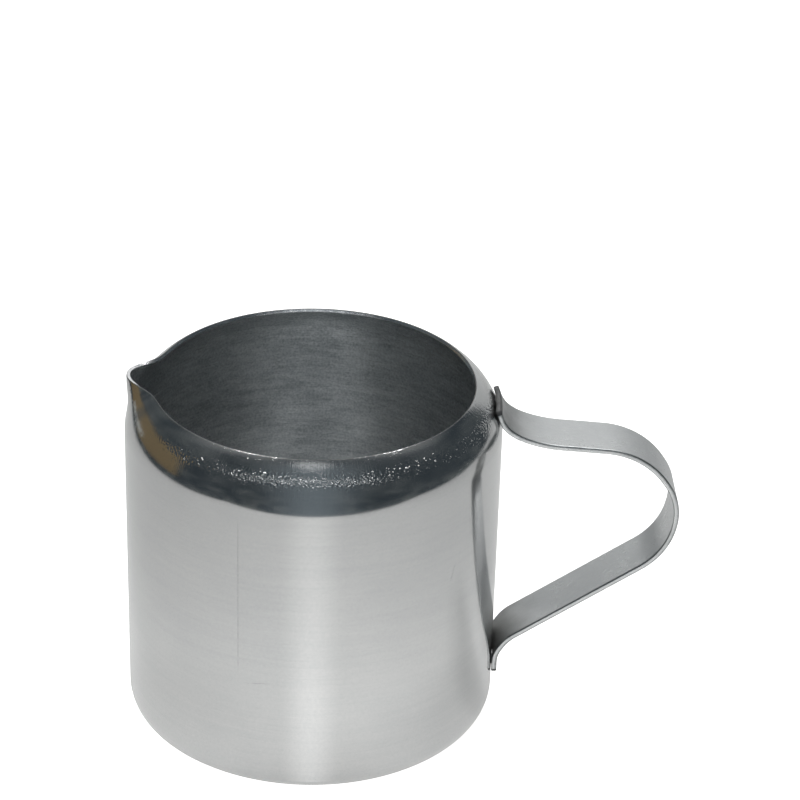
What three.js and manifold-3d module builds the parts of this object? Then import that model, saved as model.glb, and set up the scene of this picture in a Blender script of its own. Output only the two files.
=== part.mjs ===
// Cream jug in stainless steel: a drawn one-piece body with a turned-in shoulder and a pressed pouring
// lip, and a bent strap handle that is spot-welded to the body at both of its feet.
// Millimetres. Origin at the centre of the flat base, +Z up, handle towards +X, pouring lip towards -X.

import * as THREE from 'three';
import { ParametricGeometry } from 'three/addons/geometries/ParametricGeometry.js';
import { mergeVertices } from 'three/addons/utils/BufferGeometryUtils.js';
import Module from 'manifold-3d';

// ---- Body ----
const bodyRadius = 31;
const bodyHeight = 59.7;
const sheet = 0.6;
const baseCorner = 3.2; // outer radius where the wall turns into the base
const mouthInset = 4.4; // how far the mouth's rim lies inside the wall
const shoulderDepth = 11; // the shoulder is part of an ellipse: its radial semi-axis
const shoulderRise = 10.2; // and its upright semi-axis

// ---- Pouring lip ----
const lipOffset = THREE.MathUtils.degToRad(2); // pressed this far off the line through the handle
const lipHalfWidth = 4.75;
const lipTipInset = 0.35; // how far the tip lies inside the wall's radius
const lipHollow = 0.36; // depth of the throat below the tip
const lipLift = 0.1; // height of the tip above the rim
const lipSteepness = 2.4; // exponent of the bell-shaped flanks

// ---- Strap handle ----
const strapWidth = 9.5;
const strapThickness = 0.9;
const strapEdgeEase = 0.15; // burr taken off the strap's long edges
const strapEndCorner = 1.2; // rounding of each foot's two corners, seen from the front
const weldGap = 0.2; // between strap and body, bridged by the welds

const upperFootLean = THREE.MathUtils.degToRad(20.3);
const upperFootUp = 2.4; // foot above the line where it bears on the shoulder
const upperFootDown = 2.1; // and below it, to the corner of the first bend
const neckOut = 6.4; // corner between neck and top run, out from the wall
const neckDrop = 8.7; // and down from the rim
const topRunOut = 23.6;
const topRunDrop = 10;
const bowOut = 30.3;
const bowDrop = 19.5;
const returnOut = 28.8;
const returnDrop = 29.4;
const lowerFootBend = 11.5; // height of the corner between the return run and the lower foot
const lowerFootEnd = 6.1;
const kneeBend = 6; // bend radii, on the strap's outer face
const neckBend = 22;
const topBend = 14;
const bowBend = 10.8;
const returnBend = 12.6;
const ankleBend = 6.1;

// ---- Spot welds ----
const weldRadius = 1.2;
const weldPitch = 4.4; // between the two nuggets of one foot
const weldBite = 0.25; // how far a nugget reaches into each sheet
const weldClearance = 0.05;
const lowerWeldRise = 1.9; // nuggets above the end of the lower foot

// ---- Fineness of the meshes ----
const azimuthSteps = 90;
const azimuthBunching = 0.5; // 0 spreads the steps evenly, towards 1 they crowd at the lip
const baseCornerSteps = 4;
const shoulderSteps = 10;
const rimSteps = 4;
const strapStep = 1.3;
const strapEndSteps = 3;
const weldSides = 20;

const rimRadius = bodyRadius - mouthInset;
const shoulderSweep = Math.acos(1 - mouthInset / shoulderDepth);
const shoulderStart = bodyHeight - shoulderRise * Math.sin(shoulderSweep);

const steel = (name, color, roughness) =>
  new THREE.MeshStandardMaterial({ name, color, roughness, metalness: 1 });
const bodySteel = steel('body_steel', 0xb4b6b8, 0.24);
const strapSteel = steel('strap_steel', 0xaaacae, 0.3);
const weldSteel = steel('weld_steel', 0x96989a, 0.45);

// ---- Solids ----
const wasm = await Module();
wasm.setup();

// One closed body from a geometry whose rows may share points at a seam or a pole.
function toSolid(geometry) {
  const bare = geometry.clone();
  bare.deleteAttribute('normal');
  bare.deleteAttribute('uv');
  const merged = mergeVertices(bare);
  const index = merged.getIndex().array;
  const corners = [];
  for (let i = 0; i < index.length; i += 3) {
    const [a, b, c] = [index[i], index[i + 1], index[i + 2]];
    if (a !== b && b !== c && c !== a) corners.push(a, b, c);
  }
  const vertProperties = new Float32Array(merged.getAttribute('position').array);
  return new wasm.Manifold(new wasm.Mesh({ numProp: 3, vertProperties, triVerts: new Uint32Array(corners) }));
}

function toGeometry(solid) {
  const { vertProperties, triVerts } = solid.getMesh();
  const geometry = new THREE.BufferGeometry();
  geometry.setAttribute('position', new THREE.BufferAttribute(new Float32Array(vertProperties), 3));
  geometry.setIndex(new THREE.BufferAttribute(new Uint32Array(triVerts), 1));
  geometry.computeVertexNormals();
  return geometry;
}

// ---- Body shell ----

// Outer outline of the body from the base's centre to the rim, as points with their directions.
function outlineStations() {
  const outline = new THREE.Path();
  outline.moveTo(0, 0);
  outline.lineTo(bodyRadius - baseCorner, 0);
  outline.absarc(bodyRadius - baseCorner, baseCorner, baseCorner, -Math.PI / 2, 0, false);
  outline.lineTo(bodyRadius, shoulderStart);
  outline.absellipse(
    bodyRadius - shoulderDepth, shoulderStart, shoulderDepth, shoulderRise, 0, shoulderSweep, false, 0,
  );
  const [base, corner, , shoulder] = outline.curves;
  const stationsOn = (curve, steps, first) =>
    Array.from({ length: steps + 1 - first }, (_, i) => {
      const t = (i + first) / steps;
      return { point: curve.getPoint(t), along: curve.getTangent(t) };
    });
  return [
    ...stationsOn(base, 1, 0).slice(0, 1),
    ...stationsOn(corner, baseCornerSteps, 0),
    ...stationsOn(shoulder, shoulderSteps, 0),
  ];
}

// A point of the outer skin, with the lip pressed outwards; turn is the angle about Z from the lip.
function outerSkin(radius, height, turn) {
  const rise = Math.max(0, (height - shoulderStart) / (bodyHeight - shoulderStart));
  const bell = Math.exp(-((Math.abs(turn) / (lipHalfWidth / rimRadius)) ** lipSteepness));
  const pull = rise > 0 ? bell : 0;
  const lipRadius = bodyRadius - lipTipInset * rise - lipHollow * Math.sin(Math.PI * rise) ** 2;
  const pressed = THREE.MathUtils.lerp(radius, lipRadius, pull);
  return new THREE.Vector3(
    -pressed * Math.cos(turn + lipOffset),
    pressed * Math.sin(turn + lipOffset),
    height + lipLift * rise ** 2 * pull,
  );
}

// The outward normal of the outer skin and the direction along it towards the rim.
function skinDirections({ point, along }, turn) {
  const nudge = 0.001;
  const at = (step, swing) =>
    outerSkin(point.x + along.x * step, point.y + along.y * step, turn + swing);
  const up = at(nudge, 0).sub(at(-nudge, 0)).normalize();
  const round = at(0, nudge).sub(at(0, -nudge));
  const normal = point.x > 0 ? up.clone().cross(round).normalize() : new THREE.Vector3(0, 0, -1);
  return { normal, up };
}

// One closed meridian of the shell: up the outer skin, over the rounded rim, and down the inner skin.
function meridian(stations, turn) {
  const outer = [];
  const inner = [];
  for (const station of stations) {
    const skin = outerSkin(station.point.x, station.point.y, turn);
    const { normal } = skinDirections(station, turn);
    outer.push(skin);
    inner.unshift(skin.clone().addScaledVector(normal, -sheet));
  }
  const { normal, up } = skinDirections(stations.at(-1), turn);
  const rim = [];
  for (let i = 1; i < rimSteps; i++) {
    const angle = (Math.PI * i) / rimSteps;
    const centre = outer.at(-1).clone().addScaledVector(normal, -sheet / 2);
    centre.addScaledVector(normal, (sheet / 2) * Math.cos(angle));
    rim.push(centre.addScaledVector(up, (sheet / 2) * Math.sin(angle)));
  }
  return [...outer, ...rim, ...inner];
}

function bodyShell() {
  const stations = outlineStations();
  const meridians = Array.from({ length: azimuthSteps + 1 }, (_, i) => {
    const even = 2 * Math.PI * ((i % azimuthSteps) / azimuthSteps - 0.5);
    return meridian(stations, even - azimuthBunching * Math.sin(even));
  });
  const rows = meridians[0].length - 1;
  const skin = (u, v, target) =>
    target.copy(meridians[Math.round(v * azimuthSteps)][Math.round(u * rows)]);
  return toSolid(new ParametricGeometry(skin, rows, azimuthSteps));
}

// ---- Strap ----

// Half the angle between the two runs that meet at corner i.
function halfAngleAt(corners, i) {
  const back = corners[i - 1].at.clone().sub(corners[i].at).normalize();
  const on = corners[i + 1].at.clone().sub(corners[i].at).normalize();
  return Math.acos(back.dot(on)) / 2;
}

// The corner's own bend radius, or a tighter one where two bends would meet within a run.
function fittedBend(corners, i) {
  const reach = corners.map(({ bend }, k) => (bend ? bend / Math.tan(halfAngleAt(corners, k)) : 0));
  const share = (from, to) =>
    corners[from].at.distanceTo(corners[to].at) / (reach[from] + reach[to]);
  return corners[i].bend * Math.min(1, share(i - 1, i), share(i, i + 1));
}

// A route of straight runs joined by arcs, from corners that each carry a bend radius.
function bentRoute(corners) {
  const route = new THREE.Path();
  route.moveTo(corners[0].at.x, corners[0].at.y);
  for (let i = 1; i < corners.length - 1; i++) {
    const { at } = corners[i];
    const bend = fittedBend(corners, i);
    const halfAngle = halfAngleAt(corners, i);
    const back = corners[i - 1].at.clone().sub(at).normalize();
    const on = corners[i + 1].at.clone().sub(at).normalize();
    const start = at.clone().addScaledVector(back, bend / Math.tan(halfAngle));
    const end = at.clone().addScaledVector(on, bend / Math.tan(halfAngle));
    const centre = at.clone().addScaledVector(back.clone().add(on).normalize(), bend / Math.sin(halfAngle));
    route.lineTo(start.x, start.y);
    const from = start.clone().sub(centre).angle();
    const to = end.clone().sub(centre).angle();
    route.absarc(centre.x, centre.y, bend, from, to, back.cross(on) > 0);
  }
  route.lineTo(corners.at(-1).at.x, corners.at(-1).at.y);
  return route;
}

// Where the upper foot bears on the shoulder, and the two directions that set its lie.
function shoulderBearing() {
  const sweep = Math.atan((Math.tan(upperFootLean) * shoulderRise) / shoulderDepth);
  const at = new THREE.Vector2(
    bodyRadius - shoulderDepth * (1 - Math.cos(sweep)),
    shoulderStart + shoulderRise * Math.sin(sweep),
  );
  const out = new THREE.Vector2(Math.cos(upperFootLean), Math.sin(upperFootLean));
  const down = new THREE.Vector2(out.y, -out.x);
  return { at, out, down };
}

// The strap's outer face seen from the side, from the upper foot's end to the lower foot's end.
function strapRoute() {
  const standOff = weldGap + strapThickness;
  const bearing = shoulderBearing();
  const face = bearing.at.clone().addScaledVector(bearing.out, standOff);
  const fromWall = (out, height) => new THREE.Vector2(bodyRadius + out, height);
  return bentRoute([
    { at: face.clone().addScaledVector(bearing.down, -upperFootUp) },
    { at: face.clone().addScaledVector(bearing.down, upperFootDown), bend: kneeBend },
    { at: fromWall(neckOut, bodyHeight - neckDrop), bend: neckBend },
    { at: fromWall(topRunOut, bodyHeight - topRunDrop), bend: topBend },
    { at: fromWall(bowOut, bodyHeight - bowDrop), bend: bowBend },
    { at: fromWall(returnOut, bodyHeight - returnDrop), bend: returnBend },
    { at: fromWall(standOff, lowerFootBend), bend: ankleBend },
    { at: fromWall(standOff, lowerFootEnd) },
  ]);
}

// Places along the strap with the strap's half width there: close together round the foot corners.
function strapStations(length) {
  const end = Array.from({ length: strapEndSteps + 1 }, (_, i) => {
    const angle = (Math.PI / 2) * (i / strapEndSteps);
    return {
      place: strapEndCorner * (1 - Math.cos(angle)),
      halfWidth: strapWidth / 2 - strapEndCorner * (1 - Math.sin(angle)),
    };
  });
  const straight = length - 2 * strapEndCorner;
  const steps = Math.ceil(straight / strapStep);
  const middle = Array.from({ length: steps - 1 }, (_, i) => ({
    place: strapEndCorner + (straight * (i + 1)) / steps,
    halfWidth: strapWidth / 2,
  }));
  const otherEnd = end.map(({ place, halfWidth }) => ({ place: length - place, halfWidth })).reverse();
  return [...end, ...middle, ...otherEnd];
}

// A box with one slice per station, bent along the route and narrowed at its ends.
function handleStrap() {
  const route = strapRoute();
  const length = route.getLength();
  const stations = strapStations(length);
  const slices = stations.length - 1;
  const strap = new THREE.BoxGeometry(1, 1, 1, slices, 4, 2);
  const vertex = new THREE.Vector3();
  const position = strap.getAttribute('position');
  for (let i = 0; i < position.count; i++) {
    vertex.fromBufferAttribute(position, i);
    const { place, halfWidth } = stations[Math.round((vertex.x + 0.5) * slices)];
    const face = route.getPoint(place / length);
    const along = route.getTangent(place / length);
    const depth = (0.5 - vertex.z) * strapThickness;
    const onArris = Math.abs(vertex.y) === 0.5 && Math.abs(vertex.z) === 0.5;
    const half = onArris ? halfWidth - strapEdgeEase : halfWidth;
    position.setXYZ(i, face.x + along.y * depth, 2 * vertex.y * half, face.y - along.x * depth);
  }
  return toSolid(strap);
}

// ---- Spot welds ----

// The nuggets of one foot: a group that lies on the joint, its X axis through both sheets.
function weldPair(foot, at, lean) {
  const pair = new THREE.Group();
  pair.position.set(at.x, 0, at.y);
  pair.rotation.y = -lean;
  for (const [side, sign] of [['left', -1], ['right', 1]]) {
    const nugget = new THREE.Mesh(nuggetGeometry(0), weldSteel);
    nugget.name = `spot_weld_${foot}_${side}`;
    nugget.position.y = (sign * weldPitch) / 2;
    pair.add(nugget);
  }
  return pair;
}

function nuggetGeometry(allowance) {
  const radius = weldRadius + allowance;
  const nugget = new THREE.CylinderGeometry(radius, radius, weldGap + 2 * (weldBite + allowance), weldSides);
  return nugget.rotateZ(Math.PI / 2);
}

const bearing = shoulderBearing();
const upperWelds = weldPair(
  'upper', bearing.at.clone().addScaledVector(bearing.out, weldGap / 2), upperFootLean,
);
const lowerWelds = weldPair(
  'lower', new THREE.Vector2(bodyRadius + weldGap / 2, lowerFootEnd + lowerWeldRise), 0,
);

// Seats for every nugget in both sheets.
function withWeldSeats(solid) {
  let seated = solid;
  for (const pair of [upperWelds, lowerWelds]) {
    pair.updateMatrixWorld(true);
    for (const nugget of pair.children) {
      const seat = nuggetGeometry(weldClearance).applyMatrix4(nugget.matrixWorld);
      seated = seated.subtract(toSolid(seat));
    }
  }
  return seated;
}

function piece(name, solid, material) {
  const mesh = new THREE.Mesh(toGeometry(solid), material);
  mesh.name = name;
  return mesh;
}

// ---- Assembly ----
const jug = new THREE.Group();
jug.name = 'cream_jug';
jug.add(piece('jug_body', withWeldSeats(bodyShell()), bodySteel));
jug.add(piece('handle_strap', withWeldSeats(handleStrap()), strapSteel));
jug.add(upperWelds, lowerWelds);

export default jug;
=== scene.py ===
"""Cream jug in stainless steel: the fine meshes, finishes, stage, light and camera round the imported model.

Lengths of the jug and its finishes are millimetres, as on a drawing; the stage, the lamps and Blender
itself work in metres.
The handle points to +X, the pouring lip to -X, and the base stands on z = 0.
"""

import bpy
import numpy as np
from mathutils import Matrix, Vector


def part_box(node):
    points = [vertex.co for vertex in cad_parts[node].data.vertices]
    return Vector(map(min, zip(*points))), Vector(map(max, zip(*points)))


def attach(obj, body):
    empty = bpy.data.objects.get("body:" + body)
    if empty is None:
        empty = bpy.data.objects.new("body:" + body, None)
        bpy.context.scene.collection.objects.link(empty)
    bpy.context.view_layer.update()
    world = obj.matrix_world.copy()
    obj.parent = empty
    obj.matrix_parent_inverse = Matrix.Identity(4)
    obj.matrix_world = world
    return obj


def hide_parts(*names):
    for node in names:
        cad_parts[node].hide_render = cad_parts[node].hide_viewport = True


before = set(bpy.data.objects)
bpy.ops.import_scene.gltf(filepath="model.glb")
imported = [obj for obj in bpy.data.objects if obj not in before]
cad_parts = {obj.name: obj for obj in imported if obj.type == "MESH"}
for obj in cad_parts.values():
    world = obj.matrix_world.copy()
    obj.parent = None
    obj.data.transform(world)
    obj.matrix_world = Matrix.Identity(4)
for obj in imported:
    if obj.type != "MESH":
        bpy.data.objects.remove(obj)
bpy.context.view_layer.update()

MM = 0.001


def box_mm(node):
    """A CAD node's lowest and highest corners, in millimetres."""
    low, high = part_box(node)
    return np.array(low) / MM, np.array(high) / MM


# ---- Body: sizes taken from the CAD box, and its outline ----
body_low, body_high = box_mm("jug_body")
strap_low, strap_high = box_mm("handle_strap")

RIM_CREST = 0.4  # the rounded rim and the lip's lift, above the outline's top
RADIUS = round((body_high[1] - body_low[1]) / 2, 1)
HEIGHT = round(body_high[2], 1) - RIM_CREST
SHEET = 0.6
BASE_CORNER = 3.2
MOUTH_INSET = 4.4
SHOULDER_DEPTH = 11.0
SHOULDER_RISE = 10.2
RIM_RADIUS = RADIUS - MOUTH_INSET
SHOULDER_SWEEP = np.arccos(1 - MOUTH_INSET / SHOULDER_DEPTH)
SHOULDER_START = HEIGHT - SHOULDER_RISE * np.sin(SHOULDER_SWEEP)

LIP_OFFSET = np.radians(2)
LIP_HALF_WIDTH = 4.75
LIP_TIP_INSET = 0.35
LIP_HOLLOW = 0.36
LIP_LIFT = 0.1
LIP_STEEPNESS = 2.4
RIM_ROUND = 0.12  # radius of the trimmed rim's outer arris
RIM_INNER_ROUND = 0.04

# ---- Strap handle ----
STRAP_WIDTH = round(strap_high[1] - strap_low[1], 1)
STRAP_THICKNESS = 0.9
STRAP_ARRIS = 0.24  # radius of the strap's long edges
ARRIS_SHARE = 0.6  # the part of that radius painted darker, as shade along the edge
STRAP_END_CORNER = 1.2
END_ROUND = 0.42  # how far the strap's ends are rounded off in width and thickness
DARK_TIP_LENGTH = 1.0  # length of each end that is painted dark, as shade
FOOT_GAP = 0.03  # the feet are pulled tight against the body by their welds
FOOT_HUG = 0.7  # how far the feet follow the round of the body across their width, 1 being all the way
FOOT_HUG_LENGTH = 4.5
FOOT_HUG_FADE = 0.5
UPPER_FOOT_LEAN = np.radians(20.3)
UPPER_FOOT_UP = 2.4
UPPER_FOOT_DOWN = 2.1
KNEE_BEND = 6.0
LOWER_FOOT_BEND = 11.5
LOWER_FOOT_END = 6.1
ANKLE_BEND = 6.1
# Corners of the outer face between the feet: out from the wall, down from the rim, bend radius.
STRAP_CORNERS = ((6.4, 8.7, 22.0), (23.6, 10.0, 14.0), (30.3, 19.5, 10.8), (28.8, 29.4, 12.6))

# ---- Spot welds ----
WELD_RADIUS = 1.2
WELD_PITCH = 4.4
LOWER_WELD_RISE = 1.9
WELD_DIMPLE = 0.05  # depth of the electrodes' round marks on the feet
WELD_DIMPLE_FADE = 0.12

# ---- Fineness ----
AZIMUTH_STEPS = 384
AZIMUTH_BUNCHING = 0.5
BASE_STEPS = 14
CORNER_STEPS = 12
WALL_STEPS = 28
SHOULDER_STEPS = 44
RIM_STEPS = 6
ROUTE_SPACING = 0.3
STATION_SPACING = 0.35
TIP_STATIONS = 6
CORNER_STATIONS = 10
FLAT_POINTS = 49
ARRIS_POINTS = 5
EDGE_POINTS = 5

# ---- Material slots, in the order that the meshes use ----
OUTSIDE, INSIDE, RIM_FACE, RIM_ARRIS = range(4)
STRAP_FACE, SHEARED_EDGE, TORN_EDGE, STRAP_ARRIS_SLOT, STRAP_TIP = range(5)


# ---- Mesh helpers ----
def make_piece(name, points, faces):
    """A smooth-shaded mesh object from points in millimetres."""
    mesh = bpy.data.meshes.new(name)
    mesh.from_pydata((np.asarray(points) * MM).tolist(), [], faces)
    mesh.polygons.foreach_set("use_smooth", [True] * len(mesh.polygons))
    mesh.update()
    piece = bpy.data.objects.new(name, mesh)
    bpy.context.scene.collection.objects.link(piece)
    return piece


def ring_quads(first, second, count):
    """Quads between two closed rings of points that start at the given indices."""
    step = np.arange(count)
    on = (step + 1) % count
    return np.stack([first + step, first + on, second + on, second + step], axis=1).tolist()


def tube_quads(rows, count):
    """Quads between all rows of closed rings, numbered ring by ring."""
    faces = []
    for row in range(rows - 1):
        faces += ring_quads(row * count, (row + 1) * count, count)
    return faces


# ---- Body shell ----
def outline():
    """Outer outline from the base's centre to the rim: rows of radius, height and their direction."""
    rows = [(RADIUS - BASE_CORNER) * i / BASE_STEPS * np.array([1, 0, 0, 0]) + [0, 0, 1, 0]
            for i in range(BASE_STEPS)]
    for i in range(CORNER_STEPS + 1):
        angle = np.pi / 2 * (i / CORNER_STEPS - 1)
        cos, sin = np.cos(angle), np.sin(angle)
        rows.append([
            RADIUS - BASE_CORNER + BASE_CORNER * cos, BASE_CORNER + BASE_CORNER * sin, -sin, cos])
    for i in range(1, WALL_STEPS):
        rows.append([RADIUS, BASE_CORNER + (SHOULDER_START - BASE_CORNER) * i / WALL_STEPS, 0, 1])
    for i in range(SHOULDER_STEPS + 1):
        sweep = SHOULDER_SWEEP * i / SHOULDER_STEPS
        cos, sin = np.cos(sweep), np.sin(sweep)
        along = np.array([-SHOULDER_DEPTH * sin, SHOULDER_RISE * cos])
        along /= np.linalg.norm(along)
        rows.append([
            RADIUS - SHOULDER_DEPTH * (1 - cos), SHOULDER_START + SHOULDER_RISE * sin, *along])
    return np.array(rows, dtype=float)


def outer_skin(radius, height, turn):
    """Points of the outer skin, with the lip pressed outwards; turn is the angle from the lip."""
    rise = np.maximum(0, (height - SHOULDER_START) / (HEIGHT - SHOULDER_START))
    bell = np.exp(-((np.abs(turn) / (LIP_HALF_WIDTH / RIM_RADIUS)) ** LIP_STEEPNESS))
    pull = np.where(rise > 0, bell, 0)
    lip_radius = RADIUS - LIP_TIP_INSET * rise - LIP_HOLLOW * np.sin(np.pi * rise) ** 2
    pressed = radius + (lip_radius - radius) * pull
    across = turn + LIP_OFFSET
    lift = height + LIP_LIFT * rise**2 * pull
    return np.stack([-pressed * np.cos(across), pressed * np.sin(across), lift], axis=-1)


def unit(vectors):
    return vectors / np.linalg.norm(vectors, axis=-1, keepdims=True)


def rim_section():
    """The trimmed rim from outside to inside: a flat cut edge between a wider and a tighter arris."""
    half = SHEET / 2
    bow = [np.pi / 2 * i / RIM_STEPS for i in range(RIM_STEPS + 1)]
    outer = [(half - RIM_ROUND * (1 - np.cos(a)), half - RIM_ROUND * (1 - np.sin(a))) for a in bow]
    inner = [(RIM_INNER_ROUND * (1 - np.cos(a)) - half, half - RIM_INNER_ROUND * (1 - np.sin(a)))
             for a in bow[::-1]]
    level = [(out, half) for out in np.linspace(outer[-1][0], inner[0][0], RIM_STEPS + 1)[1:-1]]
    return outer + level + inner


def body_rings():
    """Closed rings of points: up the outer skin, over the rim and down the inner skin."""
    nudge = 0.001
    radius, height, run, climb = (column[:, None] for column in outline().T)
    even = 2 * np.pi * (np.arange(AZIMUTH_STEPS) / AZIMUTH_STEPS - 0.5)
    turn = (even - AZIMUTH_BUNCHING * np.sin(even))[None, :]
    skin = outer_skin(radius, height, turn)
    ahead = outer_skin(radius + run * nudge, height + climb * nudge, turn)
    behind = outer_skin(radius - run * nudge, height - climb * nudge, turn)
    up = unit(ahead - behind)
    across = outer_skin(radius, height, turn + nudge) - outer_skin(radius, height, turn - nudge)
    normal = np.cross(up, across)
    normal[0] = [0, 0, -1]
    normal = unit(normal)
    middle = skin[-1] - normal[-1] * SHEET / 2
    rim = [middle + normal[-1] * out + up[-1] * rise for out, rise in rim_section()]
    inner = (skin - normal * SHEET)[::-1]
    return np.concatenate([skin[1:], rim, inner[:-1]])


def make_body():
    rings = body_rings()
    rows, count = rings.shape[:2]
    points = np.concatenate([rings.reshape(-1, 3), [[0, 0, 0], [0, 0, SHEET]]])
    under, floor = rows * count, rows * count + 1
    faces = tube_quads(rows, count)
    last = (rows - 1) * count
    for i in range(count):
        on = (i + 1) % count
        faces.append((under, on, i))
        faces.append((floor, last + i, last + on))
    piece = make_piece("jug_shell", points, [tuple(face)[::-1] for face in faces])
    skin_rows = len(outline()) - 1
    finish = [OUTSIDE] * skin_rows + [RIM_ARRIS] * RIM_STEPS
    finish += [RIM_FACE] * (rows - 2 * skin_rows - RIM_STEPS + 1) + [INSIDE] * (skin_rows - 2)
    slots = [slot for slot in finish for _ in range(count)] + [OUTSIDE, INSIDE] * count
    piece.data.polygons.foreach_set("material_index", slots)
    return piece


# ---- Strap route: straight runs joined by arcs ----
def shoulder_bearing():
    """Where the upper foot bears on the shoulder, and the directions out of it and down along it."""
    sweep = np.arctan(np.tan(UPPER_FOOT_LEAN) * SHOULDER_RISE / SHOULDER_DEPTH)
    at = np.array([
        RADIUS - SHOULDER_DEPTH * (1 - np.cos(sweep)), SHOULDER_START + SHOULDER_RISE * np.sin(sweep)])
    out = np.array([np.cos(UPPER_FOOT_LEAN), np.sin(UPPER_FOOT_LEAN)])
    return at, out, np.array([out[1], -out[0]])


def strap_corners():
    """Corners of the strap's outer face in the XZ plane, each with its bend radius."""
    stand_off = FOOT_GAP + STRAP_THICKNESS
    at, out, down = shoulder_bearing()
    face = at + out * stand_off
    corners = [(face - down * UPPER_FOOT_UP, 0), (face + down * UPPER_FOOT_DOWN, KNEE_BEND)]
    corners += [(np.array([RADIUS + away, HEIGHT - drop]), bend) for away, drop, bend in STRAP_CORNERS]
    corners.append((np.array([RADIUS + stand_off, LOWER_FOOT_BEND]), ANKLE_BEND))
    corners.append((np.array([RADIUS + stand_off, LOWER_FOOT_END]), 0))
    return corners


def half_angle(corners, i):
    back = unit(corners[i - 1][0] - corners[i][0])
    on = unit(corners[i + 1][0] - corners[i][0])
    return np.arccos(np.clip(back @ on, -1, 1)) / 2


def strap_route(spacing):
    """Places about `spacing` apart along the outer face, each with the outward normal there."""
    corners = strap_corners()
    middle = range(1, len(corners) - 1)
    reach = [0] + [corners[i][1] / np.tan(half_angle(corners, i)) for i in middle] + [0]

    def share(i, k):
        return np.linalg.norm(corners[i][0] - corners[k][0]) / (reach[i] + reach[k])

    places, normals = [], []

    def run_to(start, end):
        length = np.linalg.norm(end - start)
        steps = max(1, int(np.ceil(length / spacing)))
        along = unit(end - start)
        for i in range(steps):
            places.append(start + (end - start) * i / steps)
            normals.append(np.array([-along[1], along[0]]))

    start = corners[0][0]
    for i in middle:
        at, bend = corners[i]
        half = half_angle(corners, i)
        bend = bend * min(1, share(i - 1, i), share(i, i + 1))
        back = unit(corners[i - 1][0] - at)
        on = unit(corners[i + 1][0] - at)
        entry, leave = at + back * bend / np.tan(half), at + on * bend / np.tan(half)
        centre = at + unit(back + on) * bend / np.sin(half)
        run_to(start, entry)
        left = back[0] * on[1] - back[1] * on[0] < 0
        sweep = np.pi - 2 * half
        first = np.arctan2(*(entry - centre)[::-1])
        steps = max(2, int(np.ceil(sweep * bend / spacing)))
        for k in range(steps):
            angle = first + (sweep if left else -sweep) * k / steps
            spoke = np.array([np.cos(angle), np.sin(angle)])
            places.append(centre + bend * spoke)
            normals.append(-spoke if left else spoke)
        start = leave
    run_to(start, corners[-1][0])
    places.append(corners[-1][0])
    normals.append(normals[-1])
    return np.array(places), np.array(normals)


# ---- Strap mesh ----
def strap_stations(length):
    """Distances along the strap of its cross sections, closer together at both ends."""
    tip = END_ROUND * (1 - np.cos(np.linspace(0, np.pi / 2, TIP_STATIONS)))
    corner = STRAP_END_CORNER * (1 - np.cos(np.linspace(0, np.pi / 2, CORNER_STATIONS)))
    ease = np.union1d(tip, corner)
    middle = np.linspace(STRAP_END_CORNER, length - STRAP_END_CORNER, int(length / STATION_SPACING))
    return np.concatenate([ease[:-1], middle, (length - ease[::-1])[1:]])


def strap_section():
    """Once round the strap's section: across the flat, out on an arris, depth, and whether it is an edge."""
    arris = np.linspace(0, np.pi / 2, ARRIS_POINTS)[1:]
    side = np.linspace(STRAP_ARRIS, STRAP_THICKNESS - STRAP_ARRIS, EDGE_POINTS)[1:-1]
    half = [(across, 0, 0, 0) for across in np.linspace(-1, 1, FLAT_POINTS)]
    half += [(1, np.sin(a), STRAP_ARRIS * (1 - np.cos(a)), 1) for a in arris]
    half += [(1, 1, depth, 1) for depth in side]
    half += [(1, np.sin(a), STRAP_THICKNESS - STRAP_ARRIS * (1 - np.cos(a)), 1) for a in arris[::-1]]
    turned = [(-across, -out, STRAP_THICKNESS - depth, edge) for across, out, depth, edge in half]
    return np.array(half + turned, dtype=float).T


def strap_finish(depth, on_edge, from_end):
    """Each side face's slot: the face, its sheared and torn edges, their arrises with painted shade, and the
    ends painted dark as shade.
    """
    half = STRAP_THICKNESS / 2
    cut_edge = np.where(depth < half, TORN_EDGE, SHEARED_EDGE)
    middle = (depth + np.roll(depth, -1)) / 2
    # painted shade: the outer part of each arris gets a darker finish
    edge_shade = np.abs(middle - half) > half - ARRIS_SHARE * STRAP_ARRIS
    edge = np.where(edge_shade, STRAP_ARRIS_SLOT, cut_edge)
    around = np.where(on_edge | np.roll(on_edge, -1), edge, STRAP_FACE)
    # painted shade: each end takes the near-black edge finish
    at_tip = (from_end[:-1] + from_end[1:]) / 2 < DARK_TIP_LENGTH
    return np.where(at_tip[:, None], STRAP_TIP, around[None, :]).ravel().tolist()


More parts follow.
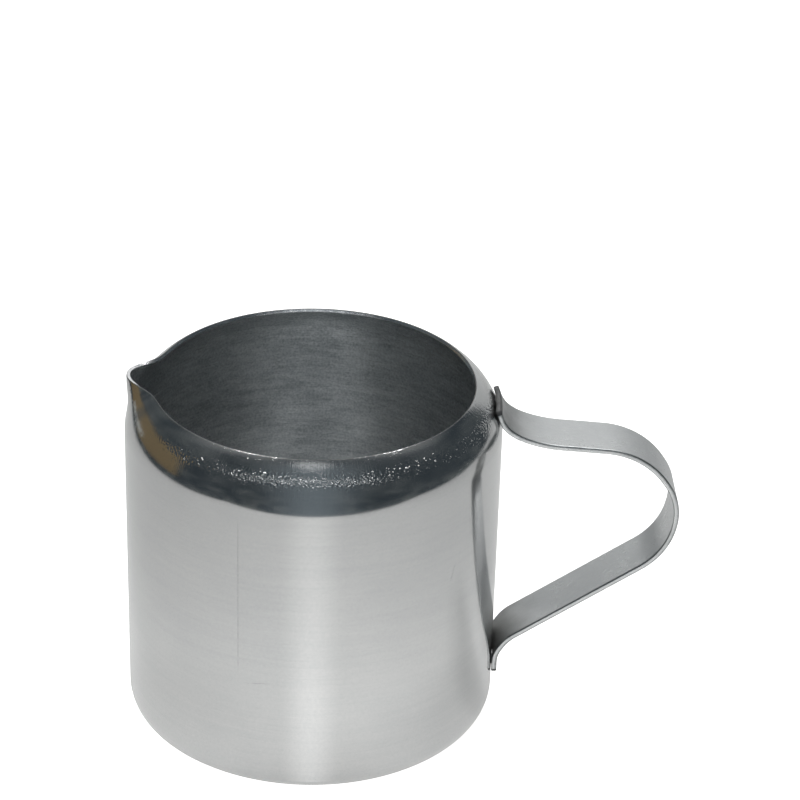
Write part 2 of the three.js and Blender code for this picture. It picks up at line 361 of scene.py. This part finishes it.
def make_strap():
    places, normals = strap_route(ROUTE_SPACING)
    travel = np.concatenate([[0], np.cumsum(np.linalg.norm(np.diff(places, axis=0), axis=1))])
    length = travel[-1]
    stations = strap_stations(length)
    face = np.stack([np.interp(stations, travel, places[:, k]) for k in (0, 1)], axis=1)
    out = unit(np.stack([np.interp(stations, travel, normals[:, k]) for k in (0, 1)], axis=1))
    from_end = np.minimum(stations, length - stations)
    inset = np.clip(1 - from_end / STRAP_END_CORNER, 0, 1)
    half = STRAP_WIDTH / 2 - STRAP_END_CORNER * (1 - np.sqrt(1 - inset**2))
    near_tip = np.clip(1 - from_end / END_ROUND, 0, 1)
    shrink = (END_ROUND * (1 - np.sqrt(1 - near_tip**2)))[:, None]

    across, sideways, depth, on_edge = strap_section()
    y = across * (half[:, None] - shrink - STRAP_ARRIS) + sideways * STRAP_ARRIS
    middle_depth = STRAP_THICKNESS / 2
    thinned = middle_depth + (depth - middle_depth) * (1 - shrink / middle_depth)
    dimple = np.zeros_like(y)
    for centre in (UPPER_FOOT_UP, length - LOWER_WELD_RISE):
        for side in (-0.5, 0.5):
            gap = np.hypot(stations[:, None] - centre, y - side * WELD_PITCH)
            dimple += WELD_DIMPLE / (1 + np.exp((gap - WELD_RADIUS) / WELD_DIMPLE_FADE))
    on_foot = 1 / (1 + np.exp((from_end[:, None] - FOOT_HUG_LENGTH) / FOOT_HUG_FADE))
    hug = FOOT_HUG * on_foot * y**2 / (2 * RADIUS)
    sunk = thinned + np.where(depth == 0, dimple, 0) + hug
    points = np.stack([
        face[:, None, 0] - out[:, None, 0] * sunk,
        y,
        face[:, None, 1] - out[:, None, 1] * sunk,
    ], axis=-1)
    rows, count = points.shape[:2]
    faces = tube_quads(rows, count)
    sides = len(faces)
    faces.append(tuple(range(count))[::-1])
    faces.append(tuple(range((rows - 1) * count, rows * count)))
    piece = make_piece("strap_handle", points.reshape(-1, 3), faces)
    slots = strap_finish(depth, on_edge.astype(int), from_end) + [STRAP_TIP] * 2
    piece.data.polygons.foreach_set("material_index", slots)
    piece.data.polygons.foreach_set("use_smooth", [True] * sides + [False] * 2)
    return piece


body = make_body()
strap = make_strap()
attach(body, "root")
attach(strap, "root")
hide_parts("jug_body")
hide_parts("handle_strap")


# ---- Node helper ----
class Nodes:
    """Short calls for building one material's or the world's node tree."""

    def __init__(self, owner):
        owner.use_nodes = True
        self.tree = owner.node_tree
        self.tree.nodes.clear()

    def add(self, kind, inputs=(), **settings):
        node = self.tree.nodes.new("ShaderNode" + kind)
        for key, value in settings.items():
            setattr(node, key, value)
        for key, value in dict(inputs).items():
            self.feed(node.inputs[key], value)
        return node

    def feed(self, socket, value):
        if isinstance(value, bpy.types.NodeSocket):
            self.tree.links.new(value, socket)
        else:
            socket.default_value = value

    def math(self, operation, *values, clamp=False):
        node = self.add("Math", operation=operation, use_clamp=clamp)
        for socket, value in zip(node.inputs, values):
            self.feed(socket, value)
        return node.outputs[0]

    def spread(self, value, low, high, to_low=0.0, to_high=1.0, smooth=True):
        """Value from low..high carried over to to_low..to_high, and held at the ends."""
        node = self.add("MapRange", interpolation_type="SMOOTHSTEP" if smooth else "LINEAR")
        limits = {"From Min": low, "From Max": high, "To Min": to_low, "To Max": to_high}
        for key, number in {"Value": value, **limits}.items():
            self.feed(node.inputs[key], number)
        return node.outputs["Result"]

    def noise(self, vector, scale=1.0, detail=2.0, roughness=0.5, w=None):
        node = self.add("TexNoise", noise_dimensions="3D" if w is None else "4D")
        self.feed(node.inputs["Vector"], vector)
        node.inputs["Scale"].default_value = scale
        node.inputs["Detail"].default_value = detail
        node.inputs["Roughness"].default_value = roughness
        if w is not None:
            self.feed(node.inputs["W"], w)
        return node.outputs["Fac"]

    def bump(self, height, depth, normal=None):
        """Bump of a full-strength height, its depth in millimetres, on top of another normal."""
        node = self.add("Bump")
        node.inputs["Strength"].default_value = 1.0
        node.inputs["Distance"].default_value = depth * MM
        self.feed(node.inputs["Height"], height)
        if normal is not None:
            self.feed(node.inputs["Normal"], normal)
        return node.outputs["Normal"]


def rgb(red, green, blue):
    return (red, green, blue, 1.0)


MIX_FACTOR, MIX_FIRST, MIX_SECOND, MIX_RESULT = 0, 6, 7, 2  # the Mix node has several sockets of each name


def mix_colours(nodes, factor, first, second):
    node = nodes.add("Mix", data_type="RGBA")
    nodes.feed(node.inputs[MIX_FACTOR], factor)
    nodes.feed(node.inputs[MIX_FIRST], first)
    nodes.feed(node.inputs[MIX_SECOND], second)
    return node.outputs[MIX_RESULT]


def add_up(nodes, *shares):
    """The sum of values, each times its share."""
    parts = [nodes.math("MULTIPLY", value, share) for value, share in shares]
    total = parts[0]
    for part in parts[1:]:
        total = nodes.math("ADD", total, part)
    return total


def distance(nodes, x, y):
    squares = nodes.math("ADD", nodes.math("MULTIPLY", x, x), nodes.math("MULTIPLY", y, y))
    return nodes.math("SQRT", squares)


# ---- Finishes ----
ROUGHER, SMOOTHER = 1.2, 0.85  # shares of a finish's roughness where its tone is darkest and lightest
FINE_GRAIN, BROAD_GRAIN = 3600.0, 800.0  # turned lines to a metre
TURNED_TONE = (0.38, 0.62)  # the range of the noise that goes from dark to light
STRIP_TONE = (0.3, 0.7)
AXIS_CLEAR = 0.5  # least radius that the turned lines divide by
RIPPLE_DEPTH = 0.0015
BLOTCH_DEPTH = 0.012

# Marks that drawing leaves: pits on the shoulder, a ring of beads that stops short of the lip, and lines
# that run up the shoulder and, at a small share of their depth, up the wall.
PITS_START, PITS_FULL = SHOULDER_START + 1.5, SHOULDER_START + 4
PIT_RING_DROP = 2.4
PIT_RING_EDGE, PIT_RING_MIDDLE = 1.5, 0.1  # distances above and below it where it ends and is full
PIT_RING_END, PIT_RING_FULL = -27.0, -20.0  # the same towards the lip, along X
PIT_RING_POLISH = 0.35  # share of the roughness that is left there
PIT_SHARE = 0.25
BEAD_DEPTH = 0.09
DRAW_LINE_DEPTH = 0.013
WALL_LINE_SHARE = 0.15

# A scratch is its azimuth in degrees, height, half length, lean (sideways for each mm up) and depth.
BODY_SCRATCHES = (
    (-112, 36.0, 16.0, 0.0, 0.004),
    (-106, 20.5, 0.35, 6.0, 0.006),
    (-43.3, 36.4, 1.6, 0.36, 0.02),
)
SCRATCH_WIDTH = 0.13
SCRATCH_TAPER = 0.6
SCRATCH_ROUGHNESS = 0.2
SCRATCH_TINT, SCRATCH_COLOUR = 0.45, (0.24, 0.24, 0.24)

# Painted shade on the strap: darker and rougher towards the body, where it meets the jug.
BODY_SHADE_START, BODY_SHADE_FULL = RADIUS + 11, RADIUS + 3
BODY_SHADE_WANDER = 6
BODY_SHADE_TINT, BODY_SHADE_COLOUR = 0.6, (0.30, 0.30, 0.29)
NEAR_BODY_ROUGHNESS = 0.15


def finish_metal(nodes, colour, rough, normal, brushed=()):
    shader = nodes.add("BsdfPrincipled", {
        "Base Color": colour, "Metallic": 1.0, "Roughness": rough, "Normal": normal, **dict(brushed),
    })
    nodes.add("OutputMaterial", {"Surface": shader.outputs[0]})


def add_drawing_marks(nodes, place, parts, lines, rough, normal, pit_depth):
    """Adds pits over the shoulder, a ring of small polished beads, and lines that are faint on the wall."""
    shoulder = nodes.spread(parts["Z"], PITS_START * MM, PITS_FULL * MM)
    off_ring = nodes.math("ABSOLUTE", nodes.math("SUBTRACT", parts["Z"], (HEIGHT - PIT_RING_DROP) * MM))
    ring = nodes.math("MULTIPLY", nodes.spread(off_ring, PIT_RING_EDGE * MM, PIT_RING_MIDDLE * MM),
                      nodes.spread(parts["X"], PIT_RING_END * MM, PIT_RING_FULL * MM))
    rough = nodes.math("MULTIPLY", rough, nodes.spread(ring, 0.0, 1.0, 1.0, PIT_RING_POLISH))
    pits = nodes.spread(lines(50.0, FINE_GRAIN, 1.0), 0.57, 0.70)
    pit_share = nodes.math("ADD", nodes.math("MULTIPLY", shoulder, PIT_SHARE), ring)
    normal = nodes.bump(nodes.math("MULTIPLY", pits, pit_share), pit_depth, normal)
    beads = nodes.noise(place, scale=2700.0, detail=0.0)
    normal = nodes.bump(nodes.math("MULTIPLY", beads, ring), BEAD_DEPTH, normal)
    line_share = nodes.math(
        "ADD", nodes.math("MULTIPLY", shoulder, 1 - WALL_LINE_SHARE), WALL_LINE_SHARE)
    draw_lines = nodes.math("MULTIPLY", lines(170.0, 110.0, 2.0), line_share)
    return rough, nodes.bump(draw_lines, DRAW_LINE_DEPTH, normal)


def scratch_line(nodes, parts, angle, grain, azimuth, height, half_length, lean):
    """1 along a scratch and 0 off it, broken up where the grain is low."""
    above = nodes.math("SUBTRACT", parts["Z"], height * MM)
    turned = nodes.math("SUBTRACT", angle, float(np.radians(azimuth)))
    beside = nodes.math("MULTIPLY", turned, RADIUS * MM)
    beside = nodes.math("SUBTRACT", beside, nodes.math("MULTIPLY", above, lean))
    width = SCRATCH_WIDTH * MM * (1 + abs(lean))
    reach = half_length * MM
    line = nodes.math("MULTIPLY", nodes.spread(nodes.math("ABSOLUTE", beside), width, 0.0),
                      nodes.spread(nodes.math("ABSOLUTE", above), reach, reach * SCRATCH_TAPER))
    return nodes.math("MULTIPLY", line, nodes.spread(grain, 0.35, 0.55))


def turned_steel(name, dark, light, roughness, anisotropic, around, grain_depth, pit_depth=0, scratches=()):
    """Steel polished on a spindle: every fine line runs round the jug's axis.

    around sets how quickly a line changes along its length. A pit_depth adds the marks of drawing.
    """
    material = bpy.data.materials.new(name)
    nodes = Nodes(material)
    place = nodes.add("TexCoord").outputs["Object"]
    parts = nodes.add("SeparateXYZ", {"Vector": place}).outputs
    radius = distance(nodes, parts["X"], parts["Y"])
    safe = nodes.math("MAXIMUM", radius, AXIS_CLEAR * MM)
    cosine = nodes.math("DIVIDE", parts["X"], safe)
    sine = nodes.math("DIVIDE", parts["Y"], safe)

    def lines(turns, per_metre, detail):
        """Noise that changes by turns round the axis and by per_metre across it, with no seam."""
        vector = nodes.add("CombineXYZ", {
            "X": nodes.math("MULTIPLY", cosine, turns),
            "Y": nodes.math("MULTIPLY", sine, turns),
            "Z": nodes.math("MULTIPLY", radius, per_metre),
        }).outputs[0]
        climb = nodes.math("MULTIPLY", parts["Z"], per_metre)
        return nodes.noise(vector, detail=detail, roughness=0.6, w=climb)

    fine = lines(around * 2, FINE_GRAIN, 2.0)
    bands = lines(around, BROAD_GRAIN, 4.0)
    blotch = nodes.noise(place, scale=85.0, detail=3.0)
    speckle = nodes.noise(place, scale=2600.0, detail=2.0)
    ripple = nodes.noise(place, scale=230.0, detail=1.0)
    tone = add_up(nodes, (fine, 0.2), (bands, 0.25), (blotch, 0.25), (speckle, 0.3))
    colour = mix_colours(nodes, nodes.spread(tone, *TURNED_TONE, smooth=False), rgb(*dark), rgb(*light))
    rough = nodes.spread(tone, *TURNED_TONE, roughness * ROUGHER, roughness * SMOOTHER)
    normal = nodes.bump(ripple, RIPPLE_DEPTH)
    normal = nodes.bump(nodes.math("ADD", fine, bands), grain_depth, normal)
    if pit_depth:
        rough, normal = add_drawing_marks(nodes, place, parts, lines, rough, normal, pit_depth)
    angle = nodes.math("ARCTAN2", parts["Y"], parts["X"])
    for *where, depth in scratches:
        line = scratch_line(nodes, parts, angle, fine, *where)
        normal = nodes.bump(line, depth, normal)
        rough = nodes.math("ADD", rough, nodes.math("MULTIPLY", line, SCRATCH_ROUGHNESS))
        tint = nodes.math("MULTIPLY", line, SCRATCH_TINT)
        colour = mix_colours(nodes, tint, colour, rgb(*SCRATCH_COLOUR))
    finish_metal(nodes, colour, rough, normal, {
        "Anisotropic": anisotropic, "Anisotropic Rotation": 0.25,
        "Tangent": nodes.add("Tangent", direction_type="RADIAL", axis="Z").outputs[0],
    })
    return material


def strip_steel(name, dark, light, roughness, grain, bump_depth, shade_near_body=False):
    """Steel with a grain of its own along each axis; the strap's rolled lines lie in XZ and vary across Y.

    Towards the body it can be darker and rougher: the darkening is painted shade where the strap meets the
    jug.
    """
    material = bpy.data.materials.new(name)
    nodes = Nodes(material)
    place = nodes.add("TexCoord").outputs["Object"]
    stretch = nodes.add("Mapping", {"Vector": place, "Scale": grain}).outputs[0]
    lines = nodes.noise(stretch, detail=3.0, roughness=0.6)
    blotch = nodes.noise(place, scale=160.0, detail=3.0)
    grit = nodes.noise(place, scale=2600.0, detail=2.0)
    tone = add_up(nodes, (lines, 0.4), (blotch, 0.3), (grit, 0.3))
    colour = mix_colours(nodes, nodes.spread(tone, *STRIP_TONE), rgb(*dark), rgb(*light))
    rough = nodes.spread(tone, *STRIP_TONE, roughness * ROUGHER, roughness * SMOOTHER)
    # painted shade: darker towards the body
    if shade_near_body:
        out = nodes.math("ADD", nodes.add("SeparateXYZ", {"Vector": place}).outputs["X"],
                         nodes.math("MULTIPLY", blotch, BODY_SHADE_WANDER * MM))
        body_shade = nodes.spread(out, BODY_SHADE_START * MM, BODY_SHADE_FULL * MM)
        colour = mix_colours(nodes, nodes.math("MULTIPLY", body_shade, BODY_SHADE_TINT), colour, rgb(*BODY_SHADE_COLOUR))
        rough = nodes.math("ADD", rough, nodes.math("MULTIPLY", body_shade, NEAR_BODY_ROUGHNESS))
    normal = nodes.bump(blotch, BLOTCH_DEPTH)
    normal = nodes.bump(nodes.math("ADD", nodes.math("MULTIPLY", grit, 0.5), lines), bump_depth, normal)
    finish_metal(nodes, colour, rough, normal)
    return material


def even_grain(scale):
    return (scale, scale, scale)


# Painted shade: near-black steel on the rim's outer arris and the strap's ends, for the dark they reflect.
painted_dark_edge = strip_steel(
    "painted_dark_edge", (0.10, 0.10, 0.10), (0.20, 0.20, 0.20), 0.6, even_grain(1100.0), 0.03)
weld_metal = strip_steel(
    "weld_metal", (0.34, 0.34, 0.35), (0.46, 0.46, 0.46), 0.45, even_grain(1200.0), 0.02)
body_finishes = {
    OUTSIDE: turned_steel(
        "polished_body", (0.525, 0.53, 0.53), (0.58, 0.58, 0.575), 0.12, 0.5, 1.4,
        grain_depth=0.0003, pit_depth=0.02, scratches=BODY_SCRATCHES),
    INSIDE: turned_steel(
        "drawn_inside", (0.44, 0.46, 0.47), (0.84, 0.85, 0.85), 0.40, 0.7, 5.0, grain_depth=0.004),
    RIM_FACE: strip_steel(
        "trimmed_rim", (0.60, 0.61, 0.62), (0.95, 0.95, 0.95), 0.20, even_grain(1100.0), 0.03),
    # painted shade: a dark line round the rim's outer arris
    RIM_ARRIS: painted_dark_edge,
}
strap_finishes = {
    # the strap's face carries painted shade towards the body
    STRAP_FACE: strip_steel(
        "rolled_strip", (0.53, 0.54, 0.545), (0.59, 0.60, 0.60), 0.30, (700.0, 3800.0, 700.0), 0.001, True),
    SHEARED_EDGE: strip_steel(
        "sheared_edge", (0.60, 0.61, 0.61), (0.74, 0.75, 0.75), 0.30, even_grain(900.0), 0.006),
    TORN_EDGE: strip_steel(
        "torn_edge", (0.36, 0.37, 0.37), (0.62, 0.63, 0.63), 0.42, even_grain(1500.0), 0.04),
    # painted shade: a darker line along the strap's arrises
    STRAP_ARRIS_SLOT: strip_steel(
        "painted_arris_shade", (0.26, 0.27, 0.27), (0.42, 0.43, 0.43), 0.36, even_grain(900.0), 0.02),
    # painted shade: the strap's ends darkened
    STRAP_TIP: painted_dark_edge,
}
for piece, finishes in ((body, body_finishes), (strap, strap_finishes)):
    for slot in sorted(finishes):
        piece.data.materials.append(finishes[slot])

for name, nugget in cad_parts.items():
    if name.startswith("spot_weld"):
        nugget.data.materials.clear()
        nugget.data.materials.append(weld_metal)

# ---- Stage, in metres: a pale paper floor and back wall, and cards that only the steel sees ----
FLOOR_LEFT, FLOOR_RIGHT, FLOOR_FRONT = -0.17, 0.29, -0.16
WALL_LEFT, WALL_RIGHT, WALL_BACK, WALL_TOP = -0.35, 0.6, 0.62, 0.62
WALL_FADE_START, WALL_FADE_END, WALL_FADE = 0.05, 0.45, 0.55  # to this share of its light, along X
PAPER_TONE, PAPER_SHADE = (0.3, 0.7), 0.985

# Light that the floor throws back up at the jug: a wedge in front of it and a ring round its foot.
WEDGE_FOOT, WEDGE_GROWTH, WEDGE_LENGTH = 0.0035, 0.26, 0.11
WEDGE_SOFTNESS = 1.5
WEDGE_FAR_GLOW, WEDGE_NEAR_GLOW = 0.32, 0.5
RING_BEFORE = 0.02  # how far the ring's centre lies in front of the jug's axis
RING_OUTER, RING_INNER, RING_GLOW = 0.10, 0.02, 0.75
RING_BACK, RING_BACK_GLOW = 0.05, 0.35
RING_SIDE, RING_SIDE_START, RING_SIDE_GLOW = 0.09, 0.015, 0.6


def floor_glow(nodes, parts):
    """The wedge's light and the ring's, which is weaker behind the jug and out to its sides."""
    ahead = nodes.math("SUBTRACT", -RADIUS * MM, parts["Y"])
    aside = nodes.math("ABSOLUTE", parts["X"])
    growth = nodes.math("MULTIPLY", nodes.math("MAXIMUM", ahead, 0.0), WEDGE_GROWTH)
    width = nodes.math("ADD", WEDGE_FOOT, growth)
    wedge = nodes.spread(nodes.math("DIVIDE", aside, width), WEDGE_SOFTNESS, 0.0)
    along = nodes.spread(ahead, WEDGE_LENGTH, 0.0, WEDGE_FAR_GLOW, WEDGE_NEAR_GLOW)
    wedge = nodes.math("MULTIPLY", wedge, along)
    wedge = nodes.math("MULTIPLY", wedge, nodes.math("GREATER_THAN", ahead, 0.0))
    away = distance(nodes, parts["X"], nodes.math("ADD", parts["Y"], RING_BEFORE))
    ring = nodes.spread(away, RING_OUTER, RING_INNER, 0.0, RING_GLOW, smooth=False)
    behind = nodes.spread(parts["Y"], RING_BACK, -RING_BEFORE, RING_BACK_GLOW, 1.0)
    ring = nodes.math("MULTIPLY", ring, behind)
    ring = nodes.math("MULTIPLY", ring, nodes.spread(aside, RING_SIDE, RING_SIDE_START, RING_SIDE_GLOW, 1.0))
    return nodes.math("ADD", wedge, ring)


def glow_paper(name, colour, glow, to_eye=0.0, bounce=False, fades=False):
    """Matt paper with some light of its own, and more to the eye, which keeps it white.

    With bounce it also throws the floor's glow at the jug. Where it fades, its light falls off to +X.
    It is see-through from behind, so that the floor doesn't hide the jug from below.
    """
    material = bpy.data.materials.new(name)
    nodes = Nodes(material)
    place = nodes.add("TexCoord").outputs["Object"]
    fibre = nodes.noise(place, scale=900.0, detail=3.0)
    shade = nodes.spread(fibre, *PAPER_TONE)
    tint = mix_colours(nodes, shade, rgb(*(PAPER_SHADE * c for c in colour)), rgb(*colour))
    seen = nodes.math("MULTIPLY", nodes.add("LightPath").outputs["Is Camera Ray"], to_eye)
    light = nodes.math("ADD", glow, seen)
    parts = nodes.add("SeparateXYZ", {"Vector": place}).outputs
    if fades:
        fade = nodes.spread(parts["X"], WALL_FADE_END, WALL_FADE_START, WALL_FADE, 1.0)
        light = nodes.math("MULTIPLY", light, fade)
    if bounce:
        light = nodes.math("ADD", light, floor_glow(nodes, parts))
    shader = nodes.add("BsdfPrincipled", {
        "Base Color": tint, "Roughness": 0.9, "Specular IOR Level": 0.1,
        "Emission Color": rgb(*colour), "Emission Strength": light,
    })
    one_sided = nodes.add("MixShader", {
        0: nodes.add("NewGeometry").outputs["Backfacing"],
        1: shader.outputs[0],
        2: nodes.add("BsdfTransparent").outputs[0],
    })
    nodes.add("OutputMaterial", {"Surface": one_sided.outputs[0]})
    return material


def make_stage_panel(name, corners, material, to_camera=True):
    mesh = bpy.data.meshes.new(name)
    mesh.from_pydata(corners, [], [(0, 1, 2, 3)])
    mesh.materials.append(material)
    panel = bpy.data.objects.new(name, mesh)
    panel.visible_camera = to_camera
    bpy.context.scene.collection.objects.link(panel)


def upright(x, y_low, y_high, z_low, z_high):
    """Corners of a panel that stands square to the X axis."""
    return [(x, y_low, z_low), (x, y_high, z_low), (x, y_high, z_high), (x, y_low, z_high)]


make_stage_panel("paper_sheet", [
    (FLOOR_LEFT, FLOOR_FRONT, 0), (FLOOR_RIGHT, FLOOR_FRONT, 0),
    (WALL_RIGHT, WALL_BACK, 0), (WALL_LEFT, WALL_BACK, 0),
], glow_paper("pale_paper", (0.55, 0.55, 0.545), 0.08, 1.4, bounce=True))
make_stage_panel("paper_wall", [
    (WALL_LEFT, WALL_BACK, 0), (WALL_RIGHT, WALL_BACK, 0),
    (WALL_RIGHT, WALL_BACK, WALL_TOP), (WALL_LEFT, WALL_BACK, WALL_TOP),
], glow_paper("wall_paper", (0.76, 0.76, 0.755), 0.36, 0.4, fades=True))
make_stage_panel("tan_card", upright(-0.33, -0.05, 0.25, 0.012, 0.15),
                 glow_paper("tan_card", (0.19, 0.145, 0.085), 0.4), to_camera=False)
make_stage_panel("leaf_card", [
    (0.36, -0.17, 0.335), (0.40, -0.12, 0.335), (0.385, -0.115, 0.375), (0.345, -0.165, 0.375),
], glow_paper("leaf_card", (0.42, 0.50, 0.36), 0.8), to_camera=False)
make_stage_panel("side_card", upright(-0.32, 0.17, 0.26, 0.025, 0.055),
                 glow_paper("pale_card", (0.45, 0.46, 0.44), 0.4), to_camera=False)

# ---- Lamps, in metres: none shows to the camera, and one not in reflections either ----
MOUTH = Vector((0, 0, 0.055))


def add_lamp(name, place, aim, width, length, power, shape="RECTANGLE", mirrored=True):
    lamp = bpy.data.lights.new(name, "AREA")
    lamp.shape = shape
    lamp.size = width
    lamp.size_y = length
    lamp.energy = power
    holder = bpy.data.objects.new(name, lamp)
    holder.location = place
    holder.rotation_euler = (Vector(aim) - Vector(place)).to_track_quat("-Z", "Y").to_euler()
    holder.visible_glossy = mirrored
    holder.visible_camera = False
    bpy.context.scene.collection.objects.link(holder)


def toward(azimuth, elevation, away):
    """A place at a compass angle from +X and an elevation, seen from the middle of the mouth."""
    azimuth, elevation = np.radians(azimuth), np.radians(elevation)
    level = away * np.cos(elevation)
    return Vector((level * np.cos(azimuth), level * np.sin(azimuth), away * np.sin(elevation) + MOUTH.z))


add_lamp("ceiling_left", (-0.20, 0.15, 0.8), (-0.20, 0.15, 0.0), 0.24, 0.22, 2.5)
add_lamp("ceiling_right", (0.25, 0.25, 0.8), (0.25, 0.25, 0.0), 0.24, 0.36, 2.7)
add_lamp("soft_front", (0.01, -0.2, 0.3), (0.01, -0.12, 0.0), 0.12, 0.12, 0.62, "SQUARE", mirrored=False)
add_lamp("front_tube", toward(-93, 42, 0.9), MOUTH, 1.3, 0.05, 0.3)
add_lamp("small_lamp", toward(-92, 70, 0.6), MOUTH, 0.15, 0.15, 0.025, "DISK")

# ---- Room: plain white to the eye, dim and bluish in reflections, lighter overhead and in places ----
ROOM_COLOUR = rgb(0.042, 0.054, 0.064)
OVERHEAD_COLOUR = rgb(0.42, 0.43, 0.44)
CLUTTER_COLOUR, CLUTTER_SHARE = rgb(0.17, 0.185, 0.185), 0.7
DOORWAY_COLOUR = rgb(0.20, 0.235, 0.26)
UNDER_COLOUR = rgb(0.7, 0.7, 0.7)
WHITE = rgb(1.0, 1.0, 1.0)

world = bpy.data.worlds.new("room")
bpy.context.scene.world = world
nodes = Nodes(world)
direction = nodes.add("TexCoord").outputs["Generated"]
heading = nodes.add("SeparateXYZ", {"Vector": direction}).outputs
overhead = nodes.math(
    "MULTIPLY", nodes.spread(heading["Z"], 0.6, 0.98), nodes.spread(heading["Y"], -0.15, 0.2))
room = mix_colours(nodes, overhead, ROOM_COLOUR, OVERHEAD_COLOUR)
clutter = nodes.noise(direction, scale=6.0, detail=5.0, roughness=0.65)
room = mix_colours(nodes, nodes.spread(clutter, 0.44, 0.64, 0.0, CLUTTER_SHARE), room, CLUTTER_COLOUR)
doorway = nodes.math("MULTIPLY", nodes.spread(nodes.math("ABSOLUTE", heading["X"]), 0.6, 0.0),
                     nodes.spread(heading["Y"], -0.1, -0.5))
room = mix_colours(nodes, doorway, room, DOORWAY_COLOUR)
room = mix_colours(nodes, nodes.spread(heading["Z"], -0.5, -0.7), room, UNDER_COLOUR)
seen = mix_colours(nodes, nodes.add("LightPath").outputs["Is Camera Ray"], room, WHITE)
background = nodes.add("Background", {"Color": seen, "Strength": 1.0})
nodes.add("OutputWorld", {"Surface": background.outputs[0]})

# ---- Camera ----
CAMERA_PLACE = Vector((0.0, -0.39590, 0.26814))
CAMERA_YAW, CAMERA_PITCH, CAMERA_ROLL = 0.0354, 0.4909, 0.0301
CAMERA_LENS = 123.49
SENSOR_WIDTH = 36.0
CLIP_START, CLIP_END = 0.01, 20.0

cos_yaw, sin_yaw = np.cos(CAMERA_YAW), np.sin(CAMERA_YAW)
ahead = Vector((sin_yaw * np.cos(CAMERA_PITCH), cos_yaw * np.cos(CAMERA_PITCH), -np.sin(CAMERA_PITCH)))
level = Vector((cos_yaw, -sin_yaw, 0))
above = level.cross(ahead)
right = level * np.cos(CAMERA_ROLL) + above * np.sin(CAMERA_ROLL)
up = above * np.cos(CAMERA_ROLL) - level * np.sin(CAMERA_ROLL)
camera_data = bpy.data.cameras.new("camera")
camera_data.lens = CAMERA_LENS
camera_data.sensor_width = SENSOR_WIDTH
camera_data.clip_start = CLIP_START
camera_data.clip_end = CLIP_END
camera = bpy.data.objects.new("camera", camera_data)
axes = Matrix((right, up, -ahead)).transposed()
camera.matrix_world = Matrix.Translation(CAMERA_PLACE) @ axes.to_4x4()
bpy.context.scene.collection.objects.link(camera)
bpy.context.scene.camera = camera
bpy.context.scene.view_settings.view_transform = "Standard"
